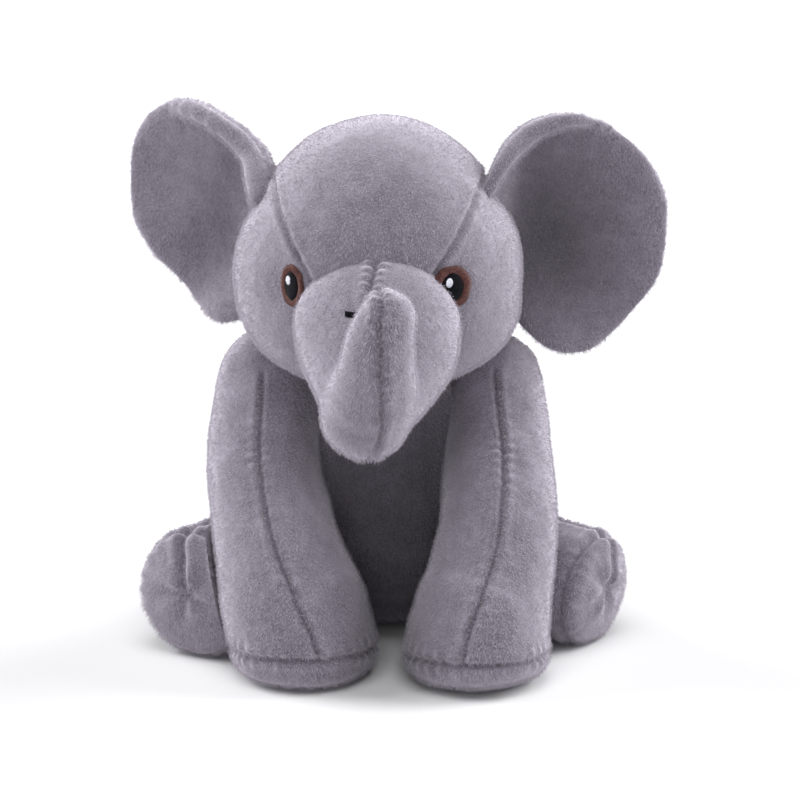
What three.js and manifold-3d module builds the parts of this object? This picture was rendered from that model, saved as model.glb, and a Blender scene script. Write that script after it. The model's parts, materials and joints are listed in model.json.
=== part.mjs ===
// A sitting stuffed elephant, about 20 cm tall: panels of short-pile fabric sewn over separate
// pockets of polyester stuffing, with embroidered eyes.
// Millimetres, +Z up. The elephant faces -Y and its own left side is at +X.
// Each group below is one body that bends on its own, and its origin is the point it bends about.

import * as THREE from 'three';
import { mergeVertices } from 'three/addons/utils/BufferGeometryUtils.js';
import Module from 'manifold-3d';

const wasm = await Module();
wasm.setup();

// ---- Driving dimensions ----

const FABRIC = 1.2; // thickness of the backing cloth and its pile
const GAP = 0.3; // clearance between pieces that touch
const SWEEP = 0.6; // clearance between bodies that move past each other
const FINE = 14; // sides round a large soft form
const COARSE = 10; // sides round a limb
const SOCKET_SIDES = 16;
const HEAD_SIDES = 16;
const HEAD_RINGS = 10;
const BIG = 400; // side of a cutting block

const HEAD_TURN = 3; // degrees that the head is turned to the elephant's right
const NECK = [0, -4, 100]; // centre of the neck, which the head turns and nods about
const NECK_RADIUS = 20;
const HEAD_CENTRE = [-2, -8, 45]; // from the neck
const HEAD_RADII = [50, 50, 48.5];
const HEAD_BACK = 12; // the back panel starts this far behind the head's centre
const HEAD_BACK_LEAN = 0.25; // how much its seam leans forward for each unit of height
const BROW_RISE = 2; // the forehead gusset ends this far above the head's centre
const GUSSET_HALF_WIDTH = 24; // of the forehead gusset at the brow
const GUSSET_FLARE = 18; // degrees that its seams open towards the crown

const TRUNK_ROOT = [-2, -44, 30]; // from the neck
const TRUNK_ROOT_RADIUS = 24.5;
const TRUNK_SEAM = 0.5; // the trunk's long seam lies this far to the elephant's left
const CREASE_RADIUS = 0.8; // half the thickness of the stitched crease across the trunk
const CREASE_ANGLE = 25; // degrees either side of the trunk's top seam that it covers

const EYE_SPREAD = 29.5; // from the head's middle to the middle of an eye
const EYE_HEIGHT = -2; // from the head's centre
const EYE_RADII = [5.9, 7.3];
const PUPIL_RADII = [3.7, 5.0];
const GLINT_RADII = [1.1, 1.9];
const GLINT_SHIFT = [-1.3, 1.9]; // from the middle of the eye
const THREAD = 0.8; // thickness of the embroidery, and of the pile under it

const EAR_RADII = [28.5, 42]; // half width and half height of an ear
const EAR_CUP = 9; // depth of the ear's hollow
const EAR_WADDING = 2.4;
const WADDING_MARGIN = 1.5; // the wadding stops this far inside the ear's edge
const EAR_SWING = [-30, 0, 30]; // degrees of flapping that the ears keep clear of the head

const SIDES = ['left', 'right'];
const BACKWARDS = new THREE.Vector3(1, 0, 0); // a turn about +X takes a hanging limb backwards
const ARM_BACK = [0, 4]; // degrees that an arm swings back from rest
const ARM_PATH = [4, 0, -10, -20, -30]; // degrees through its whole swing
const LEG_SPLAY = [0, 15, 30]; // degrees that a hind leg swings outwards
const TRUNK_DROOP = [0, 10]; // degrees that the trunk droops

const SEAT_MIDDLE = 19; // the seat's middle is this far behind the shoulders' datum
const TORSO_FLOOR = 0; // the flat seat that it rests on
const SEAM_Z = 5; // the seat panel covers the body up to this height
const BELLY_ANGLE = 38; // degrees either side of the front that the belly panel covers
const POUCH_CLOTH = 1;

const ARM_SOLE_Z = 9; // height of the seam round the sole of a front leg
const ARM_SOLE_TILT = 0.12; // how much that seam rises towards the front

// ---- Manifold helpers ----

function toSolid(geometry) {
  const bare = geometry.clone();
  bare.deleteAttribute('normal');
  bare.deleteAttribute('uv');
  const merged = mergeVertices(bare, 1e-4);
  return new wasm.Manifold(new wasm.Mesh({
    numProp: 3,
    vertProperties: new Float32Array(merged.attributes.position.array),
    triVerts: new Uint32Array(merged.index.array),
  }));
}

function toGeometry(solid) {
  const mesh = solid.getMesh();
  const geometry = new THREE.BufferGeometry();
  geometry.setAttribute('position', new THREE.BufferAttribute(mesh.vertProperties, 3));
  geometry.setIndex(new THREE.BufferAttribute(mesh.triVerts, 1));
  geometry.computeVertexNormals();
  return geometry;
}

// The largest connected piece of a solid: a cut can leave slivers behind.
function largest(solid) {
  const pieces = solid.decompose();
  return pieces.reduce((best, piece) => (piece.volume() > best.volume() ? piece : best));
}

function join(solids) {
  return solids.reduce((whole, solid) => whole.add(solid));
}

// A block that fills the half of space on the side that `normal` points to, from `point`.
function halfSpace(point, normal) {
  const block = new THREE.BoxGeometry(BIG, BIG, BIG);
  block.translate(0, 0, BIG / 2);
  const turn = new THREE.Quaternion().setFromUnitVectors(
    new THREE.Vector3(0, 0, 1),
    new THREE.Vector3(...normal).normalize(),
  );
  block.applyQuaternion(turn);
  block.translate(...point);
  return toSolid(block);
}

function ballRings(sides) {
  return Math.round(sides * 0.6);
}

function ball(centre, radius, sides) {
  const sphere = new THREE.SphereGeometry(radius, sides, ballRings(sides));
  sphere.rotateX(Math.PI / 2);
  sphere.translate(...centre);
  return toSolid(sphere);
}

// A ball big enough that its flat facets still clear a form of `radius` that turns inside it.
function socket(centre, radius) {
  const aroundLoss = Math.cos(Math.PI / SOCKET_SIDES);
  const upLoss = Math.cos(Math.PI / (2 * ballRings(SOCKET_SIDES)));
  return ball(centre, (radius + SWEEP) / (aroundLoss * upLoss), SOCKET_SIDES);
}

// Cuts a solid into the parts on either side of a plane, with a seam's gap between them.
function splitAt(solid, point, normal) {
  const n = new THREE.Vector3(...normal).normalize();
  const p = new THREE.Vector3(...point);
  const ahead = p.clone().addScaledVector(n, GAP / 2).toArray();
  const behind = p.clone().addScaledVector(n, -GAP / 2).toArray();
  return [
    solid.intersect(halfSpace(ahead, n.toArray())),
    solid.intersect(halfSpace(behind, n.negate().toArray())),
  ];
}

// ---- Soft forms ----

const SIDEWAYS = new THREE.Vector3(1, 0, 0);

const TUBE = { inset: 0, sides: COARSE, rings: 4, domeStart: 1, domeEnd: 1, widen: 1, across: SIDEWAYS };

// A rounded form along a curve: `stations` are [x, y, z, radius] along its middle, and both ends are
// domes. `inset` makes the same form smaller all round, for linings and stuffing.
function softTube(stations, options = {}) {
  const { inset, sides, rings, domeStart, domeEnd, widen, across } = { ...TUBE, ...options };
  const curve = new THREE.CatmullRomCurve3(stations.map(([x, y, z]) => new THREE.Vector3(x, y, z)));
  const radii = new THREE.CatmullRomCurve3(stations.map(([, , , r], i) => new THREE.Vector3(r, i, 0)));
  const length = curve.getLength();
  const radiusAt = (t) => radii.getPoint(t).x - inset;
  const profile = [];
  const domeSteps = 3; // rings of facets in each dome
  const startHeight = radiusAt(0) * domeStart;
  const endHeight = radiusAt(1) * domeEnd;
  for (let i = 0; i < domeSteps; i++) {
    const angle = (i / domeSteps) * (Math.PI / 2);
    profile.push(new THREE.Vector2(radiusAt(0) * Math.sin(angle), -startHeight * Math.cos(angle)));
  }
  for (let i = 0; i <= rings; i++) {
    profile.push(new THREE.Vector2(radiusAt(i / rings), (length * i) / rings));
  }
  for (let i = domeSteps - 1; i >= 0; i--) {
    const angle = (i / domeSteps) * (Math.PI / 2);
    profile.push(new THREE.Vector2(radiusAt(1) * Math.sin(angle), length + endHeight * Math.cos(angle)));
  }
  profile[0].x = 0;
  profile[profile.length - 1].x = 0;
  const lathe = new THREE.LatheGeometry(profile, sides);
  const at = lathe.attributes.position;
  const point = new THREE.Vector3();
  for (let i = 0; i < at.count; i++) {
    point.fromBufferAttribute(at, i);
    const along = THREE.MathUtils.clamp(point.y, 0, length);
    // getPoint keeps equal steps between stations, as the radii do
    const t = along / length;
    const centre = curve.getPoint(t);
    const tangent = curve.getTangent(t);
    const up = tangent.clone().cross(across).normalize();
    const side = up.clone().cross(tangent).normalize();
    centre.addScaledVector(tangent, point.y - along);
    centre.addScaledVector(side, point.x * widen);
    centre.addScaledVector(up, point.z);
    at.setXYZ(i, centre.x, centre.y, centre.z);
  }
  return toSolid(outward(lathe));
}

// Turns a closed geometry's faces outwards if its volume comes out negative.
function outward(geometry) {
  const at = geometry.attributes.position;
  const index = geometry.index;
  let volume = 0;
  const [a, b, c] = [new THREE.Vector3(), new THREE.Vector3(), new THREE.Vector3()];
  for (let i = 0; i < index.count; i += 3) {
    a.fromBufferAttribute(at, index.getX(i));
    b.fromBufferAttribute(at, index.getX(i + 1));
    c.fromBufferAttribute(at, index.getX(i + 2));
    volume += a.dot(b.cross(c));
  }
  if (volume < 0) {
    for (let i = 0; i < index.count; i += 3) {
      const second = index.getX(i + 1);
      index.setX(i + 1, index.getX(i + 2));
      index.setX(i + 2, second);
    }
  }
  return geometry;
}

function ellipsoid(centre, radii, inset = 0) {
  const sphere = new THREE.SphereGeometry(1, HEAD_SIDES, HEAD_RINGS);
  sphere.rotateX(Math.PI / 2);
  sphere.scale(...radii.map((r) => r - inset));
  sphere.translate(...centre);
  return toSolid(sphere);
}

// ---- Assembly helpers ----

const group = new THREE.Group();

function body(parent, origin, turn = 0) {
  const joint = new THREE.Group();
  joint.position.set(...origin);
  joint.rotation.z = THREE.MathUtils.degToRad(turn);
  parent.add(joint);
  return joint;
}

const PLUSH = { color: 0x8c8692, roughness: 0.95, metalness: 0 };
const PLUSH_INSIDE = { color: 0x7f7985, roughness: 0.95, metalness: 0 };
const STUFFING = { color: 0xf2f0ea, roughness: 1, metalness: 0 };
const COTTON = { color: 0xd8d4cc, roughness: 0.9, metalness: 0 };
const PELLETS = { color: 0xe6e6e2, roughness: 0.5, metalness: 0 };
const BROWN_THREAD = { color: 0x5a2c22, roughness: 0.5, metalness: 0 };
const BLACK_THREAD = { color: 0x141419, roughness: 0.4, metalness: 0 };
const WHITE_THREAD = { color: 0xe8e8ee, roughness: 0.5, metalness: 0 };

function add(parent, name, solid, look) {
  const mesh = new THREE.Mesh(toGeometry(largest(solid)), new THREE.MeshStandardMaterial(look));
  mesh.name = name;
  parent.add(mesh);
}

// ---- Limbs ----

// The cover of a limb is two long panels, sewn down the front and the back, and a sole.
// `axis` points sideways from the inner panel to the outer one.
function limb(parent, name, form, cut, axis, solePoint, soleNormal) {
  const cover = cut(form(0)).subtract(cut(form(FABRIC), FABRIC));
  const [sole, tube] = splitAt(cover, solePoint, soleNormal);
  const [outer, inner] = splitAt(tube, [0, 0, 0], axis);
  add(parent, `${name}_outer_panel`, outer, PLUSH);
  add(parent, `${name}_inner_panel`, inner, PLUSH);
  add(parent, `${name}_sole`, sole, PLUSH);
  add(parent, `${name}_stuffing`, cut(form(FABRIC + GAP), FABRIC + GAP), STUFFING);
}

// The space that a solid sweeps as it turns about an axis through its own origin.
function swept(solid, axis, angles) {
  const turned = angles.map((angle) => {
    const turn = new THREE.Matrix4().makeRotationAxis(axis, THREE.MathUtils.degToRad(angle));
    return solid.transform(turn.elements);
  });
  return join(turned);
}

// Front legs: the shoulder, and stations [x, y, z, radius] from it down to the foot.
const ARMS = {
  right: {
    shoulder: [-41, -4, 86],
    stations: [
      [0, 0, 0, 18.5],
      [-2.5, -13, -18, 19.3],
      [1, -30, -40, 20.8],
      [7, -40, -58, 23.4],
      [11.3, -43, -72, 24.4],
    ],
  },
  left: {
    shoulder: [41, -4, 86],
    stations: [
      [0, 0, 0, 18.5],
      [-0.5, -13, -17, 18.7],
      [-1, -32, -38, 20],
      [-5.5, -43, -58, 22.3],
      [-8.5, -48, -72, 23.8],
    ],
  },
};
const ARM_DOME = 0.5;

function armForm(side, inset) {
  return softTube(ARMS[side].stations, { inset, domeEnd: ARM_DOME });
}

function addArm(side) {
  const { shoulder, stations } = ARMS[side];
  const joint = body(group, shoulder);
  const floor = (inset) => halfSpace([0, 0, -shoulder[2] + inset], [0, 0, 1]);
  const cut = (solid, inset = 0) => solid.intersect(floor(inset));
  const outwards = side === 'left' ? 1 : -1;
  const [footX, footY] = stations.at(-1);
  limb(joint, `arm_${side}`, (inset) => armForm(side, inset), cut, [outwards, 0, 0],
    [footX, footY, ARM_SOLE_Z - shoulder[2]], [0, ARM_SOLE_TILT, -1]);
}

// Hind legs: the hip, and stations [x, y, z, radius] from it out to the foot.
const LEGS = {
  right: {
    hip: [-36, 14, 24],
    stations: [[0, 0, 0, 21], [-13, -13, 0, 21.3], [-25, -29, -1, 22], [-32, -43, -1.5, 22.3]],
  },
  left: {
    hip: [36, 14, 24],
    stations: [[0, 0, 0, 21], [12, -11, 0, 20.5], [25, -22, -2, 20.3], [34, -31, -3.5, 20.5]],
  },
};
const LEG_DOME = 0.35;

function legForm(side, inset) {
  return softTube(LEGS[side].stations, { inset, domeEnd: LEG_DOME });
}

function splayAxis(side) {
  return new THREE.Vector3(0, 0, side === 'left' ? 1 : -1);
}

// A hind leg is dented where the front leg beside it rests and swings.
function addLeg(side) {
  const { hip, stations } = LEGS[side];
  const joint = body(group, hip);
  const fromHip = ARMS[side].shoulder.map((value, i) => value - hip[i]);
  const floor = (inset) => halfSpace([0, 0, -hip[2] + inset], [0, 0, 1]);
  const armSpace = (inset) => swept(armForm(side, -SWEEP - inset), BACKWARDS, ARM_PATH).translate(fromHip);
  const cut = (solid, inset = 0) => solid.intersect(floor(inset)).subtract(armSpace(inset));
  const [before, end] = stations.slice(-2);
  const forward = [end[0] - before[0], end[1] - before[1], 0];
  const outwards = side === 'left' ? [-forward[1], forward[0], 0] : [forward[1], -forward[0], 0];
  limb(joint, `leg_${side}`, (inset) => legForm(side, inset), cut, outwards, end.slice(0, 3), forward);
}

// ---- Torso ----

const TORSO = [
  [0, SEAT_MIDDLE, 40, 46],
  [0, 16, 52, 44],
  [0, 8, 72, 36],
  [0, 0, 88, 24],
];

function torsoForm(inset) {
  const pear = softTube(TORSO, { inset, sides: FINE, rings: 4, domeStart: 0.98, domeEnd: 0.4 });
  return pear.intersect(halfSpace([0, 0, TORSO_FLOOR + inset], [0, 0, 1]));
}

// The pouch of pellets in the seat, open at its gathered mouth underneath.
const POUCH_STATIONS = [[0, 27, 12, 13], [0, 11, 12, 13]];
const POUCH_WIDEN = 1.1;

function pouchForm(inset) {
  return softTube(POUCH_STATIONS, { inset, rings: 2, widen: POUCH_WIDEN });
}

// The space that the legs on one side of the body rest in and swing through.
function limbSpace(side) {
  const { shoulder, stations: armStations } = ARMS[side];
  const { hip, stations: legStations } = LEGS[side];
  return join([
    socket(shoulder, armStations[0][3]),
    swept(armForm(side, -SWEEP), BACKWARDS, ARM_BACK).translate(shoulder),
    socket(hip, legStations[0][3]),
    swept(legForm(side, -SWEEP), splayAxis(side), LEG_SPLAY).translate(hip),
  ]);
}

function addTorso() {
  const joint = body(group, [0, 0, 0]);
  const spaces = join([socket(NECK, NECK_RADIUS), ...SIDES.map(limbSpace)]);
  const cover = torsoForm(0).subtract(torsoForm(FABRIC)).subtract(spaces);
  const [wrap, under] = splitAt(cover, [0, 0, SEAM_Z], [0, 0, 1]);
  const angle = THREE.MathUtils.degToRad(BELLY_ANGLE);
  const middle = [0, SEAT_MIDDLE, 0];
  const toLeft = [Math.cos(angle), Math.sin(angle), 0];
  const toRight = [-Math.cos(angle), Math.sin(angle), 0];
  const [leftRear, notLeft] = splitAt(wrap, middle, toLeft);
  const [, front] = splitAt(notLeft, middle, toRight);
  const [sideLeft] = splitAt(leftRear, [0, 0, 0], [1, 0, 0]);
  const [rightRear] = splitAt(wrap, middle, toRight);
  const [, sideRight] = splitAt(rightRear, [0, 0, 0], [1, 0, 0]);
  add(joint, 'belly_panel', front, PLUSH);
  add(joint, 'body_side_left', sideLeft, PLUSH);
  add(joint, 'body_side_right', sideRight, PLUSH);
  add(joint, 'seat_panel', under, PLUSH);

  const aboveSeat = halfSpace([0, 0, TORSO_FLOOR + FABRIC + 2 * GAP], [0, 0, 1]);
  const pouch = pouchForm(0).subtract(pouchForm(POUCH_CLOTH)).intersect(aboveSeat);
  add(joint, 'seat_pouch', pouch, COTTON);
  add(joint, 'seat_pellets', pouchForm(POUCH_CLOTH + GAP).intersect(aboveSeat), PELLETS);
  add(joint, 'body_stuffing', torsoForm(FABRIC + GAP).subtract(spaces).subtract(pouchForm(-GAP)), STUFFING);
}

// ---- Neck, head and trunk ----

function addNeck() {
  const joint = body(group, NECK);
  add(joint, 'neck_stuffing', ball([0, 0, 0], NECK_RADIUS, FINE), STUFFING);
  return joint;
}

// The trunk runs down to a bend, and its tip is raised again.
const TRUNK_ROOT_STATIONS = [
  [0, 0, 0, TRUNK_ROOT_RADIUS],
  [1.5, -13, -10, 23.5],
  [0.8, -24, -18.5, 20.6],
  [-0.5, -32, -25, 15.5],
];
const TRUNK_TIP_STATIONS = [
  [-0.5, -32, -25, 15],
  [2.5, -40, -17, 15.8],
  [4, -44.5, -8, 14],
  [5.5, -48, 4, 11.8],
  [8.5, -49.5, 13, 9],
];

function trunkRoot(inset) {
  return softTube(TRUNK_ROOT_STATIONS, { inset, rings: 3 });
}

function trunkForm(inset) {
  const tip = softTube(TRUNK_TIP_STATIONS, { inset, domeEnd: 0.7 });
  return trunkRoot(inset).add(tip);
}

// The place on the head's cover above the point (x, z) of its front, pushed out by `height`.
function onFace(x, z, height) {
  const [cx, cy, cz] = HEAD_CENTRE;
  const [rx, ry, rz] = HEAD_RADII;
  const [u, w] = [(x - cx) / rx, (z - cz) / rz];
  const v = -Math.sqrt(Math.max(0, 1 - u * u - w * w));
  const normal = new THREE.Vector3(u / rx, v / ry, w / rz).normalize();
  return new THREE.Vector3(x, cy + ry * v, z).addScaledVector(normal, height);
}

// An oval keeps its own width round the side of the head, so it is narrower seen from the front.
function eyeStretch(x) {
  const u = (x - HEAD_CENTRE[0]) / HEAD_RADII[0];
  return Math.sqrt(1 - u * u);
}

// An oval of embroidery on the face, from `inner` of the given radii out to all of them, lying
// from `low` to `high` off the cover.
function stitchedOval(centre, radii, inner, low, high) {
  const profile = [
    [inner, low], [1, low], [1, high], [inner, high], [inner, low],
  ].map(([r, h]) => new THREE.Vector2(r, h));
  const disc = new THREE.LatheGeometry(profile, FINE);
  const at = disc.attributes.position;
  const stretch = eyeStretch(centre[0]);
  for (let i = 0; i < at.count; i++) {
    const x = centre[0] + at.getX(i) * radii[0] * stretch;
    const z = centre[1] + at.getZ(i) * radii[1];
    const place = onFace(x, z, at.getY(i));
    at.setXYZ(i, place.x, place.y, place.z);
  }
  return toSolid(outward(disc));
}

function addEye(parent, side) {
  const outwards = side === 'left' ? 1 : -1;
  const centre = [HEAD_CENTRE[0] + outwards * EYE_SPREAD, HEAD_CENTRE[2] + EYE_HEIGHT];
  const glint = [centre[0] + GLINT_SHIFT[0], centre[1] + GLINT_SHIFT[1]];
  const low = THREAD;
  const high = low + THREAD;
  const above = high + GAP;
  add(parent, `eye_${side}_iris`, stitchedOval(centre, EYE_RADII, 0.7, low, high), BROWN_THREAD);
  add(parent, `eye_${side}_pupil`, stitchedOval(centre, PUPIL_RADII, 0, low, high), BLACK_THREAD);
  add(parent, `eye_${side}_glint`, stitchedOval(glint, GLINT_RADII, 0, above, above + THREAD), WHITE_THREAD);
}

function addHead(neck) {
  const joint = body(neck, [0, 0, 0], -HEAD_TURN);
  const trunkSpace = swept(trunkRoot(-SWEEP), BACKWARDS, TRUNK_DROOP).translate(TRUNK_ROOT);
  const sockets = join([socket([0, 0, 0], NECK_RADIUS), socket(TRUNK_ROOT, TRUNK_ROOT_RADIUS), trunkSpace]);
  const shape = (inset) => ellipsoid(HEAD_CENTRE, HEAD_RADII, inset);
  const cover = shape(0).subtract(shape(FABRIC)).subtract(sockets);
  const [cx, cy, cz] = HEAD_CENTRE;
  const [front, back] = splitAt(cover, [cx, cy + HEAD_BACK, cz], [0, -1, HEAD_BACK_LEAN]);
  const flare = Math.tan(THREE.MathUtils.degToRad(GUSSET_FLARE));
  const brow = cz + BROW_RISE;
  const [left, notLeft] = splitAt(front, [cx + GUSSET_HALF_WIDTH, cy, brow], [1, 0, -flare]);
  const [right, middle] = splitAt(notLeft, [cx - GUSSET_HALF_WIDTH, cy, brow], [-1, 0, -flare]);
  const [gusset, chin] = splitAt(middle, [cx, cy, brow], [0, 0, 1]);
  add(joint, 'forehead_gusset', gusset, PLUSH);
  add(joint, 'cheek_left', left, PLUSH);
  add(joint, 'cheek_right', right, PLUSH);
  add(joint, 'chin_panel', chin, PLUSH);
  add(joint, 'head_back_panel', back, PLUSH);
  add(joint, 'head_stuffing', shape(FABRIC + GAP).subtract(sockets), STUFFING);
  addEye(joint, 'left');
  addEye(joint, 'right');
  return joint;
}

function addTrunk(head) {
  const joint = body(head, TRUNK_ROOT);
  const cover = trunkForm(0).subtract(trunkForm(FABRIC));
  const [left, right] = splitAt(cover, [TRUNK_SEAM, 0, 0], [1, 0, 0]);
  add(joint, 'trunk_side_left', left, PLUSH);
  add(joint, 'trunk_side_right', right, PLUSH);
  add(joint, 'trunk_stuffing', trunkForm(FABRIC + GAP), STUFFING);
  add(joint, 'trunk_crease_stitch', trunkCrease(), BLACK_THREAD);
}

// A bar of thread that lies across the top of the trunk, halfway down to its bend.
function trunkCrease() {
  const [, middle] = TRUNK_ROOT_STATIONS;
  const centre = new THREE.Vector3(...middle);
  const up = new THREE.Vector3(0, -1, 1).normalize();
  const reach = middle[3] + CREASE_RADIUS + 3 * GAP;
  const stations = [-1, 0, 1].map((step) => {
    const angle = THREE.MathUtils.degToRad(step * CREASE_ANGLE);
    const place = centre.clone().addScaledVector(up, reach * Math.cos(angle));
    return [place.x + reach * Math.sin(angle), place.y, place.z, CREASE_RADIUS];
  });
  return softTube(stations, { sides: 8, rings: 4, across: new THREE.Vector3(0, 1, 1).normalize() });
}

// ---- Ears ----

// An ear's own frame: x runs out from the head, z up, and the hollow of the cup opens towards -y.
const EARS = {
  right: { root: [-47, -2, 50], sweep: 38, lean: 8, scale: 1.0 },
  left: { root: [46, -2, 44], sweep: 17, lean: -4, scale: 1.02 },
};
const EAR_CENTRE = [27.5, 0, 6];
const EAR_WIDER_OUT = 0.1; // how much taller an ear is at its outer side

// One sheet of an ear, from `low` to `high` in front of its middle, its edge drawn in by `shrink`.
function earSheet(low, high, shrink) {
  const steps = 3; // rings of facets from its middle to its edge
  const profile = [new THREE.Vector2(0, low)];
  for (let i = 1; i <= steps; i++) {
    profile.push(new THREE.Vector2(i / steps, low));
  }
  for (let i = steps; i >= 1; i--) {
    profile.push(new THREE.Vector2(i / steps, high));
  }
  profile.push(new THREE.Vector2(0, high));
  const disc = new THREE.LatheGeometry(profile, FINE);
  const at = disc.attributes.position;
  for (let i = 0; i < at.count; i++) {
    const across = at.getX(i) * (EAR_RADII[0] - shrink);
    const up = at.getZ(i) * (EAR_RADII[1] - shrink);
    const [u, w] = [across / EAR_RADII[0], up / EAR_RADII[1]];
    const x = EAR_CENTRE[0] + across;
    const z = EAR_CENTRE[2] + up * (1 + EAR_WIDER_OUT * u);
    const cup = EAR_CUP * (1 - (u * u + w * w)) - at.getY(i);
    at.setXYZ(i, x, cup, z);
  }
  return toSolid(outward(disc));
}

function addEar(head, side) {
  const { root, sweep, lean, scale } = EARS[side];
  const joint = body(head, root);
  const outwards = side === 'left' ? 1 : -1;
  const headCentre = HEAD_CENTRE.map((value, i) => value - root[i]);
  const swung = (angle) => ellipsoid(headCentre, HEAD_RADII, -1).rotate([0, 0, angle]);
  const headSpace = join(EAR_SWING.map(swung));
  const place = (solid) => {
    const mirrored = outwards === 1 ? solid : solid.mirror([1, 0, 0]);
    const posed = mirrored.rotate([0, outwards * -lean, 0]).rotate([0, 0, outwards * sweep]).scale(scale);
    return posed.subtract(headSpace);
  };
  const half = EAR_WADDING / 2;
  add(joint, `ear_${side}_front_panel`, place(earSheet(half + GAP, half + GAP + FABRIC, 0)), PLUSH_INSIDE);
  add(joint, `ear_${side}_wadding`, place(earSheet(-half, half, WADDING_MARGIN)), STUFFING);
  add(joint, `ear_${side}_back_panel`, place(earSheet(-half - GAP - FABRIC, -half - GAP, 0)), PLUSH);
}

// ---- Tail ----

const TAIL_ROOT = [0, 63, 27]; // the tail's body turns about this point of the back
const TAIL_STATIONS = [[0, 4, 0, 3.5], [0, 8.5, -7, 3.2], [0, 10.5, -15, 3.6]];

function addTail() {
  const joint = body(group, TAIL_ROOT);
  add(joint, 'tail', softTube(TAIL_STATIONS, { rings: 3, sides: 8 }), PLUSH);
}

// The origin is the middle of the flat seat.
group.position.y = -SEAT_MIDDLE;

addTorso();
const neck = addNeck();
const head = addHead(neck);
addTrunk(head);
for (const side of SIDES) {
  addEar(head, side);
  addArm(side);
  addLeg(side);
}
addTail();

export default group;
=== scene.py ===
"""A sitting stuffed elephant: soft plush skins with sewn seams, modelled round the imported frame.

Lengths in the modelling code are millimetres, and each mesh is scaled to metres as it is made.
"""
import bpy
import json
import math
import numpy as np
from mathutils import Matrix, Vector, noise
from mathutils.bvhtree import BVHTree


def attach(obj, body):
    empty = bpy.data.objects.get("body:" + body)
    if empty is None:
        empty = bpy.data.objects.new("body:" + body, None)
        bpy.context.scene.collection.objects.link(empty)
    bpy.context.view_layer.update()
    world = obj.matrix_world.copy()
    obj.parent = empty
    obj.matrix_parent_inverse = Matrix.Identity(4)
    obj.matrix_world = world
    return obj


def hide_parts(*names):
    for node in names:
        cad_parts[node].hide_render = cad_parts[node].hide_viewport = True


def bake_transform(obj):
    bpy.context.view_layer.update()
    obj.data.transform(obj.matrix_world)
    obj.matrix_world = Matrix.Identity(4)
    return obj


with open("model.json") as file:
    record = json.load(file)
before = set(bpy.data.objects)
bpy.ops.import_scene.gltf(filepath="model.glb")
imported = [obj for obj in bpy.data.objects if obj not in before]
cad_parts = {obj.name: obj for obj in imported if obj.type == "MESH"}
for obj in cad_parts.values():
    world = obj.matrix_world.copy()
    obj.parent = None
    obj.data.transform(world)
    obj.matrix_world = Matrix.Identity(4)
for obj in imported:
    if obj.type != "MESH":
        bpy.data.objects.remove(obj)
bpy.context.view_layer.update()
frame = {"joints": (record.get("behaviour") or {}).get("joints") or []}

MM = 0.001
JOINTS = {joint["name"]: np.array(joint["pos_m"]) / MM for joint in frame["joints"]}
NECK = JOINTS["neck_turn"]
HEAD_TURN = -3.0  # degrees about the neck
SEAT_BACK = 19.0  # the seat's middle lies this far behind the shoulders' datum
SIDES = {"left": 1, "right": -1}


# ---- Frames: each body's own millimetres, and where they lie in the whole ----

def head_frame():
    """The head's frame starts at the neck and is turned with the head."""
    return Matrix.Translation(Vector(NECK)) @ Matrix.Rotation(math.radians(HEAD_TURN), 4, "Z")


def at(point):
    return Matrix.Translation(Vector(point))


TORSO_FRAME = at((0, -SEAT_BACK, 0))


# ---- Mesh helpers ----

def ball_ends(stations, rings, dome_start, dome_end, dome_steps=6):
    """(distance along, radius share) pairs for a form with a dome at each end, and its length."""
    points = np.array([s[:3] for s in stations], float)
    length = float(np.linalg.norm(np.diff(points, axis=0), axis=1).sum())
    start, end = stations[0][3] * dome_start, stations[-1][3] * dome_end
    angles = np.linspace(0, math.pi / 2, dome_steps, endpoint=False)
    rows = [(-start * math.cos(a), math.sin(a)) for a in angles]
    rows += [(s, 1.0) for s in np.linspace(0, length, rings)]
    rows += [(length + end * math.cos(a), math.sin(a)) for a in angles[::-1]]
    return rows, length


def catmull_rom(a, b, c, d, f):
    """The place at share f of the way from b to c, on a smooth curve through a, b, c and d."""
    linear = (c - a) * f
    square = (2 * a - 5 * b + 4 * c - d) * f * f
    cube = (3 * b - a - 3 * c + d) * f ** 3
    return 0.5 * (2 * b + linear + square + cube)


def spline(stations, t):
    """A smooth curve through the stations, evenly spaced in t from 0 to 1; every column is interpolated."""
    rows = np.array(stations, float)
    rows = np.vstack([2 * rows[0] - rows[1], rows, 2 * rows[-1] - rows[-2]])
    spans = len(stations) - 1
    x = min(max(t, 0.0), 1.0) * spans
    i = min(int(x), spans - 1)
    return catmull_rom(*rows[i:i + 4], x - i)


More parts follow.
